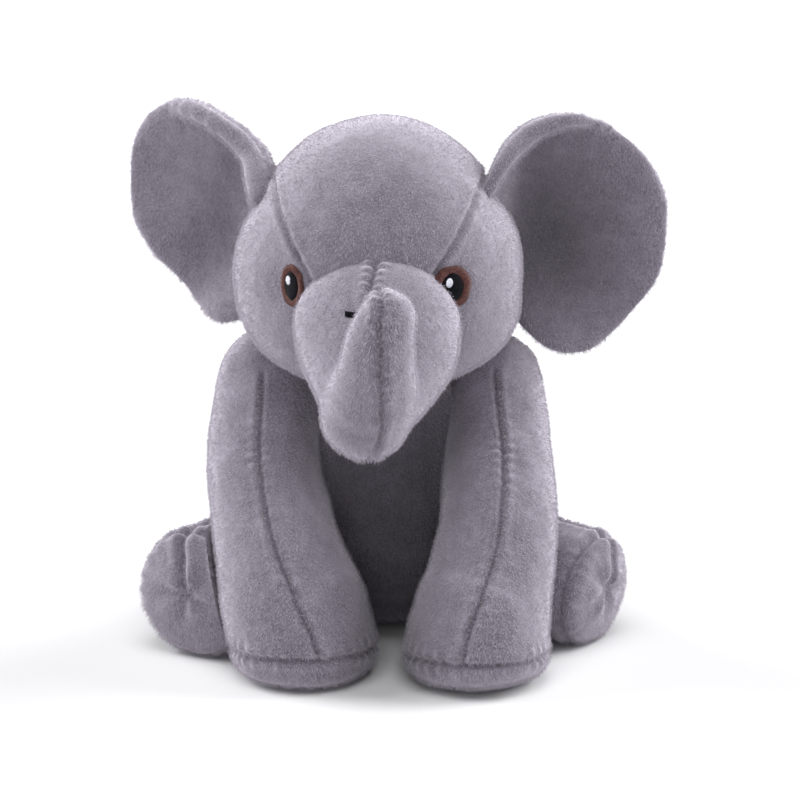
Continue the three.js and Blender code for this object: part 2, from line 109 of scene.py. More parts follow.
def loft(stations, sides=40, rings=28, dome_start=1.0, dome_end=1.0, across=(1, 0, 0)):
    """Vertices and faces of a rounded form along stations (x, y, z, half width, half depth)."""
    rows, length = ball_ends(stations, rings, dome_start, dome_end)
    across = np.array(across, float)
    verts, faces = [], []
    step = 1e-3
    for s, share in rows:
        t = min(max(s / length, 0.0), 1.0)
        here = spline(stations, t)
        ahead = spline(stations, min(t + step, 1.0))[:3] - spline(stations, max(t - step, 0.0))[:3]
        tangent = ahead / np.linalg.norm(ahead)
        up = np.cross(tangent, across)
        up /= np.linalg.norm(up)
        side = np.cross(up, tangent)
        centre = here[:3] + tangent * (s - t * length)
        wide, deep = side * here[3], up * here[4]
        for k in range(sides):
            angle = 2 * math.pi * k / sides
            verts.append(centre + share * (wide * math.cos(angle) + deep * math.sin(angle)))
    # the first row is the tip of the start dome, whose points all meet
    count = len(rows)
    for r in range(count - 1):
        for k in range(sides):
            n = (k + 1) % sides
            faces.append((r * sides + k, r * sides + n, (r + 1) * sides + n, (r + 1) * sides + k))
    last = len(verts)
    verts.append(np.mean(verts[(count - 1) * sides:count * sides], axis=0))
    faces += [((count - 1) * sides + k, (count - 1) * sides + (k + 1) % sides, last) for k in range(sides)]
    return np.array(verts), faces


def ellipsoid(centre, radii, sides=64, rings=40):
    verts, faces = [], []
    for r in range(rings + 1):
        polar = math.pi * r / rings
        out, height = math.sin(polar), math.cos(polar)
        for k in range(sides):
            angle = 2 * math.pi * k / sides
            verts.append((out * math.cos(angle), out * math.sin(angle), height))
    for r in range(rings):
        for k in range(sides):
            n = (k + 1) % sides
            faces.append((r * sides + k, (r + 1) * sides + k, (r + 1) * sides + n, r * sides + n))
    return np.array(verts) * np.array(radii) + np.array(centre), faces


def mesh_object(name, parts, place=Matrix.Identity(4)):
    """One object from (vertices, faces) parts in millimetres, placed in the whole and scaled to metres."""
    verts, faces, start = [], [], 0
    for part_verts, part_faces in parts:
        verts.append(np.asarray(part_verts, float))
        faces += [tuple(start + i for i in face) for face in part_faces]
        start += len(part_verts)
    verts = np.vstack(verts)
    turned = verts @ np.array(place.to_3x3()).T + np.array(place.translation)
    mesh = bpy.data.meshes.new(name)
    mesh.from_pydata((turned * MM).tolist(), [], faces)
    mesh.validate()
    obj = bpy.data.objects.new(name, mesh)
    bpy.context.scene.collection.objects.link(obj)
    return obj


def settle(obj):
    """Applies every modifier, so that the object's mesh is its final shape."""
    graph = bpy.context.evaluated_depsgraph_get()
    mesh = bpy.data.meshes.new_from_object(obj.evaluated_get(graph))
    old = obj.data
    obj.modifiers.clear()
    obj.data = mesh
    bpy.data.meshes.remove(old)
    mesh.name = obj.name


def fuse(obj, voxel, smooth):
    """Melts the parts of an object into one even skin, rounds it and makes it finer."""
    remesh = obj.modifiers.new("skin", "REMESH")
    remesh.mode = "VOXEL"
    remesh.voxel_size = voxel * MM
    remesh.use_smooth_shade = True
    rounding = obj.modifiers.new("round", "SMOOTH")
    rounding.factor = 0.5
    rounding.iterations = smooth
    finer = obj.modifiers.new("fine", "SUBSURF")
    finer.levels = finer.render_levels = 1
    settle(obj)
    obj.data.shade_smooth()


def points(obj):
    co = np.empty(len(obj.data.vertices) * 3)
    obj.data.vertices.foreach_get("co", co)
    return co.reshape(-1, 3) / MM


def normals(obj):
    no = np.empty(len(obj.data.vertices) * 3)
    obj.data.vertices.foreach_get("normal", no)
    return no.reshape(-1, 3)


def move(obj, co):
    obj.data.vertices.foreach_set("co", (co * MM).astype(np.float32).ravel())
    obj.data.update()


FLOOR_GAP = 0.25  # the skins end this far above the floor


def rest_on_floor(skin, co):
    """Puts a skin's points in place, flattened where it sits."""
    co[:, 2] = np.maximum(co[:, 2], FLOOR_GAP)
    move(skin, co)


def local_points(obj, place):
    back = place.inverted()
    return points(obj) @ np.array(back.to_3x3()).T + np.array(back.translation)


def bell(distance, width):
    return np.exp(-(distance / width) ** 2)


def smoothstep(value, low, high):
    t = np.clip((value - low) / (high - low), 0, 1)
    return t * t * (3 - 2 * t)


def lumps(co, size, seed):
    """Soft noise from -1 to 1 whose features are about `size` millimetres."""
    offset = Vector((seed, seed * 1.7, seed * 2.3))
    return np.array([noise.noise(Vector(p) / size + offset) for p in co])


def waves(along, pitch, seed):
    """Uneven ripples along a seam, from -1 to 1, about `pitch` millimetres apart."""
    drift = 0.5 * np.sin(along / (pitch * 2.3) + seed) + 0.3 * np.sin(along / (pitch * 0.9) + 2 * seed)
    slow = 0.35 * np.sin(along / (pitch * 1.7) + 3 * seed)
    fast = 0.2 * np.sin(along / (pitch * 0.6) + seed)
    return (0.45 + slow + fast) * np.sin(2 * np.pi * along / pitch + 2 * drift)


SEAM_SHADE = 0.25  # how much the painted shade in a seam's groove darkens the pile
SEAM_BULGE = 0.45  # how high the cloth stands beside a seam, as a share of the seam's depth
SEAM_BARE = 0.9  # the share of the fibres that a seam hides


class Sculpt:
    """Gathers the changes to a skin, all in its body's frame, before they are applied at once.

    `push` moves it along its normals, `seam` and `shade` paint shade onto it, in the seams' grooves and
    in shadowed hollows, and `cover` and `tuft` say how dense and how long its pile is.
    """

    seed = 0

    def __init__(self, obj, place):
        self.obj = obj
        self.co = local_points(obj, place)
        self.push = np.zeros(len(self.co))
        self.seam = np.zeros(len(self.co))
        self.shade = np.zeros(len(self.co))
        self.cover = np.ones(len(self.co))
        self.tuft = np.full(len(self.co), PILE_USUAL)

    def lump(self, size, depth, seed):
        self.push += depth * lumps(self.co, size, seed)

    def dimple(self, centre, radius, depth):
        distance = np.linalg.norm(self.co - np.array(centre), axis=1)
        self.push -= depth * bell(distance, radius)

    def crease(self, distance, along, where, seed, depth=1.1, width=1.5, pucker=0.5, pitch=4.5, reach=5.0):
        """A sewn seam: a narrow groove, with the cloth bulging beside it and gathered into puckers."""
        along = along + np.where(distance > 0, 0.4 * pitch, 0)  # the two sides pucker out of step
        distance = np.abs(distance)
        groove = depth * bell(distance, width)
        bulge = SEAM_BULGE * depth * bell(distance - 2.2 * width, 1.6 * width)
        ripple = pucker * waves(along, pitch, seed) * bell(distance - 0.4 * reach, 0.6 * reach)
        self.push += where * (bulge - groove + ripple)
        # the groove's painted shade
        self.seam = np.maximum(self.seam, where * bell(distance, 1.8 * width))
        self.cover *= 1 - SEAM_BARE * where * bell(distance, 0.6 * width)
        self.tuft = np.maximum(self.tuft, where * bell(distance - 1.6 * width, 1.2 * width))

    def finish(self):
        co = points(self.obj) + normals(self.obj) * self.push[:, None]
        move(self.obj, co)
        # painted shade: darker in the seams' grooves and where shade is added for shadowed places, kept as a
        # mesh colour
        nap = (1 - SEAM_SHADE * self.seam) * (1 - self.shade)
        corners = np.empty(len(self.obj.data.loops), np.int32)
        self.obj.data.loops.foreach_get("vertex_index", corners)
        colours = np.repeat(nap[corners][:, None], 4, axis=1)
        colours[:, 3] = 1
        layer = self.obj.data.color_attributes.new("nap", "BYTE_COLOR", "CORNER")
        layer.data.foreach_set("color", colours.astype(np.float32).ravel())

    def grow(self):
        Sculpt.seed += 1
        grow_pile(self.obj, Sculpt.seed, self.cover, self.tuft)


# ---- Materials ----

def node_material(name):
    material = bpy.data.materials.new(name)
    material.use_nodes = True
    tree = material.node_tree
    tree.nodes.clear()
    out = tree.nodes.new("ShaderNodeOutputMaterial")
    shader = tree.nodes.new("ShaderNodeBsdfPrincipled")
    tree.links.new(shader.outputs[0], out.inputs["Surface"])
    return material, tree, shader


def add_noise(tree, scale, detail=2.0, rough=0.5):
    texture = tree.nodes.new("ShaderNodeTexNoise")
    texture.inputs["Scale"].default_value = scale
    texture.inputs["Detail"].default_value = detail
    texture.inputs["Roughness"].default_value = rough
    place = tree.nodes.new("ShaderNodeTexCoord").outputs["Object"]
    tree.links.new(place, texture.inputs["Vector"])
    return texture.outputs["Fac"]


def math_node(tree, kind, a, b):
    node = tree.nodes.new("ShaderNodeMath")
    node.operation = kind
    for socket, value in zip(node.inputs, (a, b)):
        if isinstance(value, (int, float)):
            socket.default_value = value
        else:
            tree.links.new(value, socket)
    return node.outputs[0]


def ramp(tree, value, stops):
    node = tree.nodes.new("ShaderNodeValToRGB")
    ends = node.color_ramp.elements
    while len(ends) < len(stops):
        ends.new(0.5)
    for element, (place, colour) in zip(ends, stops):
        element.position = place
        element.color = (*colour, 1)
    tree.links.new(value, node.inputs[0])
    return node.outputs[0]


PLUSH_DARK = (0.115, 0.102, 0.126)
PLUSH_MID = (0.175, 0.158, 0.195)
PLUSH_LIGHT = (0.270, 0.247, 0.298)
PLUSH_PAINTED_SHEEN = (0.66, 0.61, 0.70)  # painted sheen: the light colour that the pile turns to where it is seen edge on
PAINTED_SHEEN_SHARE = 0.85
PAINTED_SHEEN_POWER = 2.2
STRAND_SHEEN_SHARE = 0.3  # how much of the painted sheen colour a fibre has at its root
# painted sheen: the light colour of a fibre's tip
PLUSH_TIP_SHEEN = (0.62, 0.58, 0.66)
TIP_SHEEN_SHARE = 0.8  # how far a fibre fades to that colour at its tip: painted sheen on the tips, painted shade at the roots


def mix_colours(tree, share, start, end, blend="MIX"):
    """A colour that goes from start to end; each of the three is a socket or a fixed value."""
    node = tree.nodes.new("ShaderNodeMix")
    node.data_type = "RGBA"
    node.blend_type = blend
    for socket, value in ((node.inputs["Factor"], share), (node.inputs[6], start), (node.inputs[7], end)):
        if isinstance(value, float):
            socket.default_value = value
        elif isinstance(value, tuple):
            socket.default_value = (*value, 1)
        else:
            tree.links.new(value, socket)
    return node.outputs[2]


def add_bump(tree, shader, height, strength, distance):
    bump = tree.nodes.new("ShaderNodeBump")
    bump.inputs["Strength"].default_value = strength
    bump.inputs["Distance"].default_value = distance
    tree.links.new(height, bump.inputs["Height"])
    tree.links.new(bump.outputs[0], shader.inputs["Normal"])


def painted_sheen_share(tree, strand):
    """How far the pile turns to its painted sheen colour: more where the skin is seen edge on, some on a
    fibre.
    """
    facing = tree.nodes.new("ShaderNodeLayerWeight").outputs["Facing"]
    edge_on = math_node(tree, "POWER", facing, PAINTED_SHEEN_POWER)
    on_skin = math_node(tree, "SUBTRACT", 1.0, strand)
    skin = math_node(tree, "MULTIPLY", math_node(tree, "MULTIPLY", edge_on, PAINTED_SHEEN_SHARE), on_skin)
    return math_node(tree, "ADD", skin, math_node(tree, "MULTIPLY", strand, STRAND_SHEEN_SHARE))


def plush_material():
    """Short grey pile: brushed patches, fine fibre grain, and a painted velvet sheen at its edges and fibre
    tips.

    A mesh colour paints shade into the pile, in the seams' grooves and in the shadowed hollows.
    """
    material, tree, shader = node_material("plush_pile")
    patches = add_noise(tree, 260, 3.0, 0.6)
    fibre = add_noise(tree, 1500, 2.0, 0.6)
    brushed = add_noise(tree, 90, 2.0, 0.5)
    coarse = math_node(tree, "MULTIPLY", patches, 0.25)
    fine = math_node(tree, "MULTIPLY", fibre, 0.55)
    broad = math_node(tree, "MULTIPLY", brushed, 0.2)
    grain = math_node(tree, "ADD", math_node(tree, "ADD", coarse, fine), broad)
    colour = ramp(tree, grain, [(0.34, PLUSH_DARK), (0.5, PLUSH_MID), (0.68, PLUSH_LIGHT)])

    hair = tree.nodes.new("ShaderNodeHairInfo")
    # painted sheen: the colour turns lighter where the skin is seen edge on, and a little on every fibre
    colour = mix_colours(tree, painted_sheen_share(tree, hair.outputs["Is Strand"]), colour, PLUSH_PAINTED_SHEEN)
    # painted sheen on the fibres' tips, painted shade at their roots
    tip = math_node(tree, "MULTIPLY", hair.outputs["Intercept"], TIP_SHEEN_SHARE)
    colour = mix_colours(tree, tip, colour, PLUSH_TIP_SHEEN)
    # painted shade from the mesh colour, multiplied into the pile
    nap = tree.nodes.new("ShaderNodeAttribute")
    nap.attribute_name = "nap"
    colour = mix_colours(tree, 1.0, colour, nap.outputs["Color"], "MULTIPLY")
    tree.links.new(colour, shader.inputs["Base Color"])

    coarse = math_node(tree, "MULTIPLY", patches, 0.3)
    fine = math_node(tree, "MULTIPLY", fibre, 0.5)
    add_bump(tree, shader, math_node(tree, "ADD", coarse, fine), 0.6, 0.0008)
    shader.inputs["Roughness"].default_value = 0.9
    shader.inputs["Specular IOR Level"].default_value = 0.15
    shader.inputs["Sheen Weight"].default_value = 0.6
    shader.inputs["Sheen Roughness"].default_value = 0.45
    shader.inputs["Sheen Tint"].default_value = (0.80, 0.76, 0.84, 1)
    return material


def thread_material(name, dark, light, roughness, specular=0.3):
    material, tree, shader = node_material(name)
    grain = add_noise(tree, 1800)
    tree.links.new(ramp(tree, grain, [(0.35, dark), (0.65, light)]), shader.inputs["Base Color"])
    add_bump(tree, shader, grain, 0.4, 0.0002)
    shader.inputs["Roughness"].default_value = roughness
    shader.inputs["Specular IOR Level"].default_value = specular
    return material


def finish_piece(obj, material):
    obj.data.materials.clear()
    obj.data.materials.append(material)


def finish_skin(sculpt, *nodes, fill):
    """Dresses a skin in plush; it stands in for the CAD nodes of its panels and their stuffing."""
    finish_piece(sculpt.obj, PLUSH)
    sculpt.grow()
    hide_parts(*nodes)


PILE_PER_MM2 = 3.0
PILE_LENGTH = 1.5  # where it is longest, in the tufts along a seam
PILE_USUAL = 0.75  # the share of that length elsewhere
PILE_UPRIGHT, PILE_UNRULY, PILE_DROOP = 0.75, 0.5, 0.5  # how a fibre's direction is made up
FIBRE_ROOT, FIBRE_TIP = 0.11, 0.04  # radii
WEIGHT_STEPS = 12


def weight_group(obj, name, weights):
    group = obj.vertex_groups.new(name=name)
    steps = np.round(np.clip(weights, 0, 1) * WEIGHT_STEPS).astype(int)
    for step in range(WEIGHT_STEPS + 1):
        group.add(np.flatnonzero(steps == step).tolist(), step / WEIGHT_STEPS, "REPLACE")


def grow_pile(obj, seed, cover, length):
    """Short fibres over a skin, rooted in its faces so that they move with it."""
    weight_group(obj, "pile_cover", cover)
    weight_group(obj, "pile_length", length)
    area = sum(face.area for face in obj.data.polygons) / MM ** 2
    obj.modifiers.new("pile", "PARTICLE_SYSTEM")
    system = obj.particle_systems[0]
    system.seed = seed
    system.vertex_group_density = "pile_cover"
    system.vertex_group_length = "pile_length"
    pile = system.settings
    pile.type = "HAIR"
    pile.use_advanced_hair = True
    pile.count = int(area * PILE_PER_MM2)
    pile.emit_from = "FACE"
    pile.use_even_distribution = True
    pile.distribution = "RAND"
    pile.hair_step = 3
    pile.display_step = 2
    pile.render_step = 2
    reach = PILE_LENGTH * MM / 4  # a fibre is four times as long as its starting speed
    pile.normal_factor = reach * PILE_UPRIGHT
    pile.factor_random = reach * PILE_UNRULY
    pile.object_align_factor = (0, 0, -reach * PILE_DROOP)
    pile.root_radius = FIBRE_ROOT
    pile.tip_radius = FIBRE_TIP
    pile.radius_scale = MM
    pile.material = 1


PLUSH = plush_material()
BROWN = thread_material("brown_thread", (0.032, 0.011, 0.009), (0.13, 0.040, 0.032), 0.4)
BLACK = thread_material("black_thread", (0.002, 0.002, 0.003), (0.006, 0.006, 0.010), 0.5, 0.08)
WHITE = thread_material("white_thread", (0.55, 0.57, 0.66), (0.9, 0.9, 0.95), 0.3)


# ---- Head ----

HEAD_CENTRE = (-2.0, -8.0, 45.0)
HEAD_RADII = (50.0, 50.0, 48.5)
HEAD_HEIGHTS = (-48, -38, -27, -12, 9, 23, 38, 48)  # from the head's centre
HEAD_WIDTHS = (1.15, 1.20, 1.14, 1.05, 0.985, 0.92, 0.93, 0.96)  # its width there, next to an ellipsoid's
BROW = 44.0  # height of the lower end of the forehead seams, from the neck
BROW_HALF = 20.0  # their distance from the head's middle there
BROW_FLARE = math.radians(30)
CROWN_BACK = 22.0  # how far behind the head's centre the gusset ends
CROWN_PEAK = 1.2  # how far the top of the head stands up
CROWN_LEAN = 0.25  # the seam there leans back by this much for each millimetre up
CROWN_DROP = 10.0  # it lies this far forward of that at the height of the head's centre


def head_width(height):
    return np.interp(height, HEAD_HEIGHTS, HEAD_WIDTHS)


def head_surface(x, z):
    """The y of the front of the head at (x, z), in the head's frame."""
    w = (z - HEAD_CENTRE[2]) / HEAD_RADII[2]
    u = (x - HEAD_CENTRE[0]) / (HEAD_RADII[0] * head_width(z - HEAD_CENTRE[2]))
    return HEAD_CENTRE[1] - HEAD_RADII[1] * math.sqrt(max(0.0, 1 - u * u - w * w))


def sew_brow(sculpt, side):
    """One of the two seams that run from beside the eyes, up and over the forehead."""
    co = sculpt.co
    behind = co[:, 1] - HEAD_CENTRE[1]
    normal = np.array([side * math.cos(BROW_FLARE), 0, -math.sin(BROW_FLARE)])
    upwards = np.array([side * math.sin(BROW_FLARE), 0, math.cos(BROW_FLARE)])
    start = np.array([HEAD_CENTRE[0] + side * BROW_HALF, 0, BROW])
    distance = (co - start) @ normal
    along = (co - start) @ upwards - 0.6 * behind
    before_crown = 1 - smoothstep(behind, CROWN_BACK - 2, CROWN_BACK + 3)
    where = smoothstep(co[:, 2], BROW - 3, BROW + 1) * before_crown
    sculpt.crease(distance, along, where, depth=0.9, width=1.0, pucker=0.25, pitch=4.2, reach=4, seed=side)


def sew_back_of_head(sculpt):
    """The seam across the crown, and the one that runs down from it."""
    rel = sculpt.co - np.array(HEAD_CENTRE)
    crown = rel[:, 1] - CROWN_LEAN * rel[:, 2] - CROWN_BACK + CROWN_DROP
    sculpt.crease(crown, sculpt.co[:, 0], 1.0, depth=1.1, width=1.2, pucker=0.35, pitch=5.0, seed=4)
    back = smoothstep(crown, 0, 4)
    sculpt.crease(rel[:, 0], rel[:, 2], back, depth=1.0, width=1.2, pucker=0.35, pitch=5.5, seed=5)


def press_eye(sculpt, side):
    """A hollow beside an eye, with no pile under the threads and shorter pile round them."""
    co = sculpt.co
    x, z = eye_place(side)
    sculpt.dimple((x - EYE_TILT, head_surface(x, z), z), radius=10, depth=2.2)
    wide, tall = EYE_RADII[side]
    away = np.hypot((co[:, 0] - x) / (wide + EYE_MARGIN), (co[:, 2] - z) / (tall + EYE_MARGIN))
    front = co[:, 1] < 0
    sculpt.cover *= 1 - smoothstep(-away, -1.2, -0.95) * front
    sculpt.tuft *= 1 - 0.4 * smoothstep(-away, -1.9, -1.1) * front


def make_head():
    place = head_frame()
    verts, faces = ellipsoid(HEAD_CENTRE, HEAD_RADII)
    verts[:, 0] = HEAD_CENTRE[0] + (verts[:, 0] - HEAD_CENTRE[0]) * head_width(verts[:, 2] - HEAD_CENTRE[2])
    skin = mesh_object("head_skin", [(verts, faces)], place)
    fuse(skin, 1.35, smooth=4)
    sculpt = Sculpt(skin, place)
    rel = sculpt.co - np.array(HEAD_CENTRE)
    crown_top = bell(np.hypot(rel[:, 0], rel[:, 1] + 4), 16) * smoothstep(rel[:, 2], 20, 48)
    sculpt.push += CROWN_PEAK * crown_top
    sculpt.lump(size=26, depth=0.8, seed=3.1)
    sculpt.lump(size=9, depth=0.2, seed=5.1)
    for side in SIDES.values():
        sew_brow(sculpt, side)
    sew_back_of_head(sculpt)
    for side in SIDES:
        press_eye(sculpt, side)
    sculpt.finish()
    finish_skin(sculpt, "forehead_gusset", "cheek_left", "cheek_right", "chin_panel", "head_back_panel",
                "head_stuffing", fill=0.9)
    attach(skin, "head")
    return skin


# ---- Trunk ----

TRUNK_ROOT = (-2.0, -44.0, 30.0)  # in the head's frame
TRUNK_TIP = (8.0, -58.0, 16.0)  # the seam is gathered here
TRUNK_SEAM_BACK = (-50, -33, -14, 0)  # y along the trunk, and the seam's x there
TRUNK_SEAM_X = (6.0, -0.8, 2.0, 1.5)
# (x, y, z, half width, half depth) from the trunk's root
TRUNK_BASE = [
    (0, 8, 0, 26, 26),
    (1.5, -2, -2, 28.5, 27),
    (2, -14, -10, 26.5, 25),
    (1, -25, -18, 20.5, 20),
    (-0.5, -33, -25.5, 15, 14.5),
]
TRUNK_RAISED = [
    (-0.5, -32, -25.5, 15, 14.5),
    (2.5, -40, -16, 14.5, 14),
    (4, -44.5, -8, 12.8, 12),
    (5.5, -48, 4, 11, 10.4),
    (8.0, -50, 12.5, 9.0, 8.6),
]


def trunk_frame():
    return head_frame() @ at(TRUNK_ROOT)


def make_trunk():
    place = trunk_frame()
    base = loft(TRUNK_BASE, dome_start=0.5)
    raised = loft(TRUNK_RAISED, dome_end=0.9)
    skin = mesh_object("trunk_skin", [base, raised], place)
    fuse(skin, 1.2, smooth=14)
    sculpt = Sculpt(skin, place)
    co = sculpt.co
    sculpt.lump(size=16, depth=0.5, seed=7.7)
    # the centre seam runs down the top, and up the underside to a gathered tip
    middle = np.interp(co[:, 1], TRUNK_SEAM_BACK, TRUNK_SEAM_X)
    distance = co[:, 0] - middle
    along = co[:, 1] * 0.7 + co[:, 2]
    sculpt.crease(distance, along, 1.0, depth=1.3, width=1.2, pucker=0.5, pitch=4.0, reach=4, seed=2)
    under = smoothstep(-co[:, 1], 36, 46) * smoothstep(co[:, 2], -22, -10)
    tousled = under * bell(distance, 5.5)
    sculpt.tuft += (1 - PILE_USUAL) * tousled
    sculpt.push += 0.8 * tousled * lumps(co, 3.2, 8.3)
    sculpt.dimple(TRUNK_TIP, radius=3.2, depth=1.8)
    sculpt.finish()
    finish_skin(sculpt, "trunk_side_left", "trunk_side_right", "trunk_stuffing", fill=0.9)
    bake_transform(skin)
    return skin


# ---- Eyes and trunk crease ----

EYE_SPREAD = 27.0
EYE_HEIGHT = -3.0
EYE_RADII = {"left": (6.4, 7.5), "right": (4.2, 7.4)}  # as seen from the front, where the face turns away
EYE_TILT = 5.0  # the hollow by each eye lies this far to its right
EYE_MARGIN = 0.4  # the pile stops this far outside the threads
PUPIL_SHARE = (0.60, 0.66)
IRIS_THREADS = 96
PUPIL_THREADS = 30
GLINT_THREADS = 7
IRIS_THREAD, PUPIL_THREAD, GLINT_THREAD = 0.26, 0.27, 0.20  # radii


def thread_tube(path, radius, sides=5):
    """Vertices and faces of one thread along a path."""
    path = np.array(path, float)
    verts, faces = [], []
    for i, p in enumerate(path):
        tangent = path[min(i + 1, len(path) - 1)] - path[max(i - 1, 0)]
        tangent /= np.linalg.norm(tangent)
        side = np.cross(tangent, (0.1, 1, 0.2))
        side /= np.linalg.norm(side)
        up = np.cross(side, tangent)
        for k in range(sides):
            a = 2 * math.pi * k / sides
            verts.append(p + radius * (side * math.cos(a) + up * math.sin(a)))
    for i in range(len(path) - 1):
        for k in range(sides):
            n = (k + 1) % sides
            faces.append((i * sides + k, i * sides + n, (i + 1) * sides + n, (i + 1) * sides + k))
    faces.append(tuple(range(sides))[::-1])
    faces.append(tuple((len(path) - 1) * sides + k for k in range(sides)))
    return np.array(verts), faces


class Surface:
    """Finds points on a skin, in a body's frame."""

    def __init__(self, obj, place):
        graph = bpy.context.evaluated_depsgraph_get()
        self.tree = BVHTree.FromObject(obj, graph)
        self.place = place
        self.back = place.inverted()

    def front(self, x, z, lift, from_y=-150.0):
        """The point of the skin straight behind (x, from_y, z), lifted off along its normal."""
        origin = self.place @ Vector((x, from_y, z)) * MM
        ray = self.place.to_3x3() @ Vector((0, 1, 0))
        hit, normal, _, _ = self.tree.ray_cast(origin, ray)
        return np.array(self.back @ ((hit + normal * lift * MM) / MM))


def eye_place(side):
    return HEAD_CENTRE[0] + SIDES[side] * EYE_SPREAD, HEAD_CENTRE[2] + EYE_HEIGHT


def eye_spots(side, head):
    """A function that finds a point of an eye, where u and w run from -1 to 1 across it and up it."""
    skin = Surface(head, head_frame())
    x, z = eye_place(side)
    wide, tall = EYE_RADII[side]
    return lambda u, w, lift: skin.front(x + u * wide, z + w * tall, lift)


def iris_threads(spot, seed):
    """Stitches that run outwards all round the pupil."""
    inner = np.array(PUPIL_SHARE) * 0.92
    threads = []
    for i in range(IRIS_THREADS):
        a = 2 * math.pi * i / IRIS_THREADS
        wobble = 1 + 0.04 * math.sin(7 * a + seed) + 0.02 * math.sin(31 * a)
        path = []
        for t in np.linspace(0, 1, 7):
            u = (inner[0] + (1 - inner[0]) * t * wobble) * math.cos(a)
            w = (inner[1] + (1 - inner[1]) * t * wobble) * math.sin(a)
            lift = 0.3 + 0.8 * math.sin(math.pi * min(max(t, 0.02), 0.98)) ** 0.6
            path.append(spot(u, w, lift))
        threads.append(thread_tube(path, IRIS_THREAD))
    return threads


def pupil_threads(spot):
    """Stitches that lie side by side across the pupil."""
    threads = []
    for i in range(PUPIL_THREADS):
        w = 2 * (i + 0.5) / PUPIL_THREADS - 1
        half = math.sqrt(max(0.02, 1 - w ** 2))
        path = []
        for t in np.linspace(-1, 1, 9):
            lift = 0.5 + 0.7 * math.sqrt(max(0.0, 1 - (0.95 * t) ** 2))
            path.append(spot(half * t * PUPIL_SHARE[0], w * PUPIL_SHARE[1], lift))
        threads.append(thread_tube(path, PUPIL_THREAD))
    return threads


def glint_threads(spot):
    """A few upright stitches on top of the pupil."""
    threads = []
    for i in range(GLINT_THREADS):
        across = (i - (GLINT_THREADS - 1) / 2) / (GLINT_THREADS / 2)
        half = 0.22 * math.sqrt(max(0.1, 1 - across ** 2))
        steps = np.linspace(-1, 1, 6)
        path = [spot(-0.18 + 0.17 * across, 0.25 + half * t, 1.35 + 0.3 * (1 - t * t)) for t in steps]
        threads.append(thread_tube(path, GLINT_THREAD))
    return threads


def make_eye(side, head):
    spot = eye_spots(side, head)
    for part, threads, material, slot in (
        ("iris", iris_threads(spot, EYE_RADII[side][0]), BROWN, "brown_thread"),
        ("pupil", pupil_threads(spot), BLACK, "black_thread"),
        ("glint", glint_threads(spot), WHITE, "white_thread"),
    ):
        obj = mesh_object(f"eye_{side}_{part}_thread", threads, head_frame())
        obj.data.shade_smooth()
        finish_piece(obj, material)
        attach(obj, "head")
        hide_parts(f"eye_{side}_{part}")


# ---- Torso ----

# (x, y, z, half width, half depth) from the floor under the seat's datum
TORSO = [
    (0, 19, 40, 46, 45),
    (0, 16, 54, 44, 43),
    (0, 8, 74, 38, 34),
    (0, 0, 92, 30, 26),
    (0, -4, 106, 24, 22),
]
BELLY_ANGLE = math.radians(38)  # how far the belly panel reaches to each side of the front
BELLY_SHADE = 0.55  # painted shade on the belly, which lies in shadow under the head and between the arms


def make_torso():
    place = TORSO_FRAME
    skin = mesh_object("torso_skin", [loft(TORSO, sides=56, rings=40, dome_start=0.9, dome_end=0.6)], place)
    fuse(skin, 2.0, smooth=2)
    sculpt = Sculpt(skin, place)
    co = sculpt.co
    sculpt.lump(size=30, depth=1.0, seed=1.3)
    for side in SIDES.values():
        normal = np.array([side * math.cos(BELLY_ANGLE), math.sin(BELLY_ANGLE), 0])
        distance = (co - np.array([0, SEAT_BACK, 0])) @ normal
        front = smoothstep(SEAT_BACK - co[:, 1], 0, 8)
        sculpt.crease(distance, co[:, 2], front, depth=1.0, pucker=0.4, pitch=5, seed=side)
    back = smoothstep(co[:, 1] - SEAT_BACK, 0, 8)
    sculpt.crease(co[:, 0], co[:, 2], back, depth=1.0, width=1.4, pucker=0.4, pitch=5, seed=9)
    # painted shade on the belly, which lies in shadow under the head and between the arms
    belly = smoothstep(-co[:, 1], 0, 14) * (1 - smoothstep(np.abs(co[:, 0]), 14, 30))
    sculpt.shade += BELLY_SHADE * belly
    sculpt.finish()
    rest_on_floor(skin, points(skin))
    finish_skin(sculpt, "belly_panel", "body_side_left", "body_side_right", "seat_panel", "body_stuffing",
                "seat_pouch", "seat_pellets", "neck_stuffing", fill=0.85)
    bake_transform(skin)


# ---- Limbs ----

# (x, y, z, half width, half depth) from the shoulder or the hip
ARMS = {
    "right": [
        (-1, 4, 8, 20.5, 20),
        (-2.5, -13, -18, 20.5, 20.5),
        (1, -30, -40, 22, 22),
        (7, -40, -58, 24.5, 24),
        (11, -43, -70, 25.5, 25.5),
    ],
    "left": [
        (-4, 4, 9, 18.5, 19),
        (-0.5, -13, -16, 19.7, 19.5),
        (-1, -32, -38, 20.8, 21),
        (-5.5, -43, -58, 23, 23),
        (-8.5, -48, -70, 24.8, 24.8),
    ],
}
FEET = {
    "right": [(10.5, -42, -62, 24, 24), (11.5, -43, -73, 25.5, 25.5), (11.5, -43, -80, 25.3, 25.3)],
    "left": [(-7.5, -46, -62, 23.5, 23.5), (-8.5, -49, -73, 24.8, 24.8), (-8.5, -50, -80, 24.6, 24.6)],
}
LEGS = {
    "right": [
        (4, 3, 0, 20.5, 20),
        (-13, -13, 0, 21.5, 21.5),
        (-25, -29, -1, 22.5, 22),
        (-32, -43, -0.5, 23.5, 23),
    ],
    "left": [
        (-4, 3, 0, 20.5, 20),
        (12, -11, 0, 20.5, 20.5),
        (26.5, -22, -2, 20.5, 20.3),
        (38.5, -31, -3.5, 20.8, 20.3),
    ],
}
LIMB_PARTS = ("outer_panel", "inner_panel", "sole", "stuffing")
ARM_SHADE = 0.35  # painted shade where the arms face each other, in the shadow by the belly
